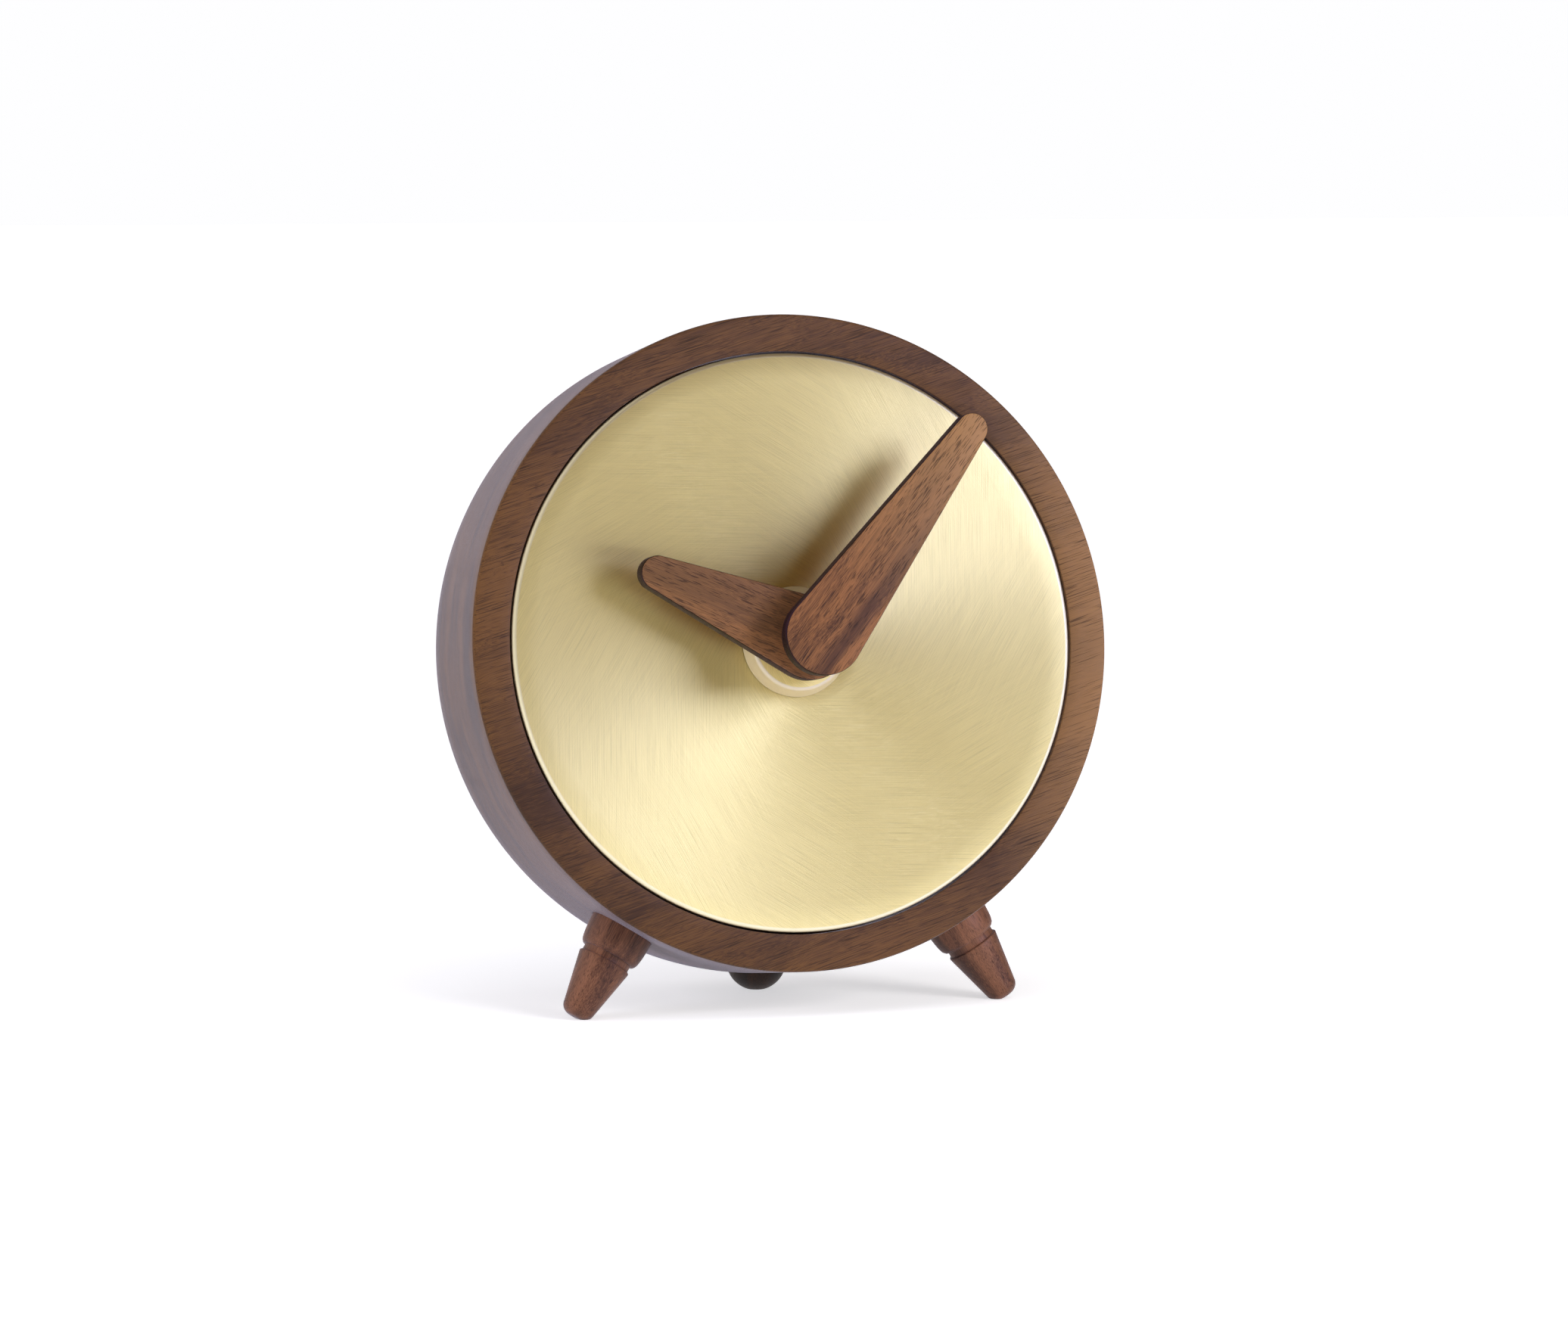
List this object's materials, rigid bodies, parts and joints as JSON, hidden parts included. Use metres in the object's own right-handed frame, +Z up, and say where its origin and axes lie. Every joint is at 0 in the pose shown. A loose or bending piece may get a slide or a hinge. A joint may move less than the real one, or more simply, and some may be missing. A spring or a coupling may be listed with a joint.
{
  "type": "table clock",
  "caption": "Round turned wooden table clock leaning back on turned legs, with a plain brushed brass dial, flat wooden hands and a battery quartz movement.",
  "frame": {"origin": "centre of the bounding box in plan, on the surface the clock stands on", "axes": "+Z up, -Y out of the dial's side, +X to the right of the dial as it is read"},
  "size_m": [0.1, 0.0625, 0.1057],
  "materials": {
    "walnut": "oiled turned walnut",
    "brass": "brushed",
    "steel": "turned",
    "white_acetal": "moulded",
    "black_abs": "moulded",
    "fibreboard": "bare",
    "copper_wire": "enamelled wire",
    "circuit_board": "lacquered",
    "cell_sleeve": "satin"
  },
  "bodies": {
    "case": {"case_shell": "walnut", "leg_left": "walnut", "leg_right": "walnut", "rear_foot": "walnut", "dial_pan": "brass", "dial_collar": "brass", "bushing": "brass", "bushing_nut": "brass", "leg_left_stud": "steel", "leg_right_stud": "steel", "rear_foot_stud": "steel", "bushing_washer": "steel", "motor_stator": "steel", "quartz_crystal": "steel", "contact_plus": "steel", "contact_minus": "steel", "contact_spring": "steel", "train_plate": "white_acetal", "front_housing": "black_abs", "rear_housing": "black_abs", "coil_bobbin": "black_abs", "dial_backing": "fibreboard", "coil_winding": "copper_wire", "circuit_board": "circuit_board", "battery_cell": "cell_sleeve"},
    "minute": {"minute_arbor": "steel", "minute_hand": "walnut", "minute_hand_bush": "brass"},
    "hour": {"hour_wheel": "white_acetal", "hour_hand": "walnut", "hour_hand_bush": "brass"},
    "setting": {"setting_wheel": "white_acetal", "setting_knob": "black_abs"},
    "third": {"third_wheel": "white_acetal"},
    "seconds": {"seconds_wheel": "white_acetal"}
  },
  "joints": [
    {"name": "minute_turn", "type": "hinge", "parent": "case", "child": "minute", "pos_m": [0, -0.01434, 0.05639], "axis": [0, -0.9873, 0.1587], "continuous": true},
    {"name": "hour_turn", "type": "hinge", "parent": "case", "child": "hour", "pos_m": [0, -0.01434, 0.05639], "axis": [0, -0.9873, 0.1587], "continuous": true},
    {"name": "setting_turn", "type": "hinge", "parent": "case", "child": "setting", "pos_m": [0.00551, 0.00001, 0.06374], "axis": [0, -0.9873, 0.1587], "continuous": true},
    {"name": "third_turn", "type": "hinge", "parent": "case", "child": "third", "pos_m": [-0.009, -0.0015, 0.05432], "axis": [0, -0.9873, 0.1587], "continuous": true},
    {"name": "seconds_turn", "type": "hinge", "parent": "case", "child": "seconds", "pos_m": [0, -0.01434, 0.05639], "axis": [0, -0.9873, 0.1587], "continuous": true}
  ],
  "couplings": [
    {"joint": "hour_turn", "follows": "minute_turn", "ratio": 0.083333},
    {"joint": "setting_turn", "follows": "minute_turn", "ratio": -0.33333},
    {"joint": "third_turn", "follows": "minute_turn", "ratio": -8},
    {"joint": "seconds_turn", "follows": "minute_turn", "ratio": 60}
  ]
}
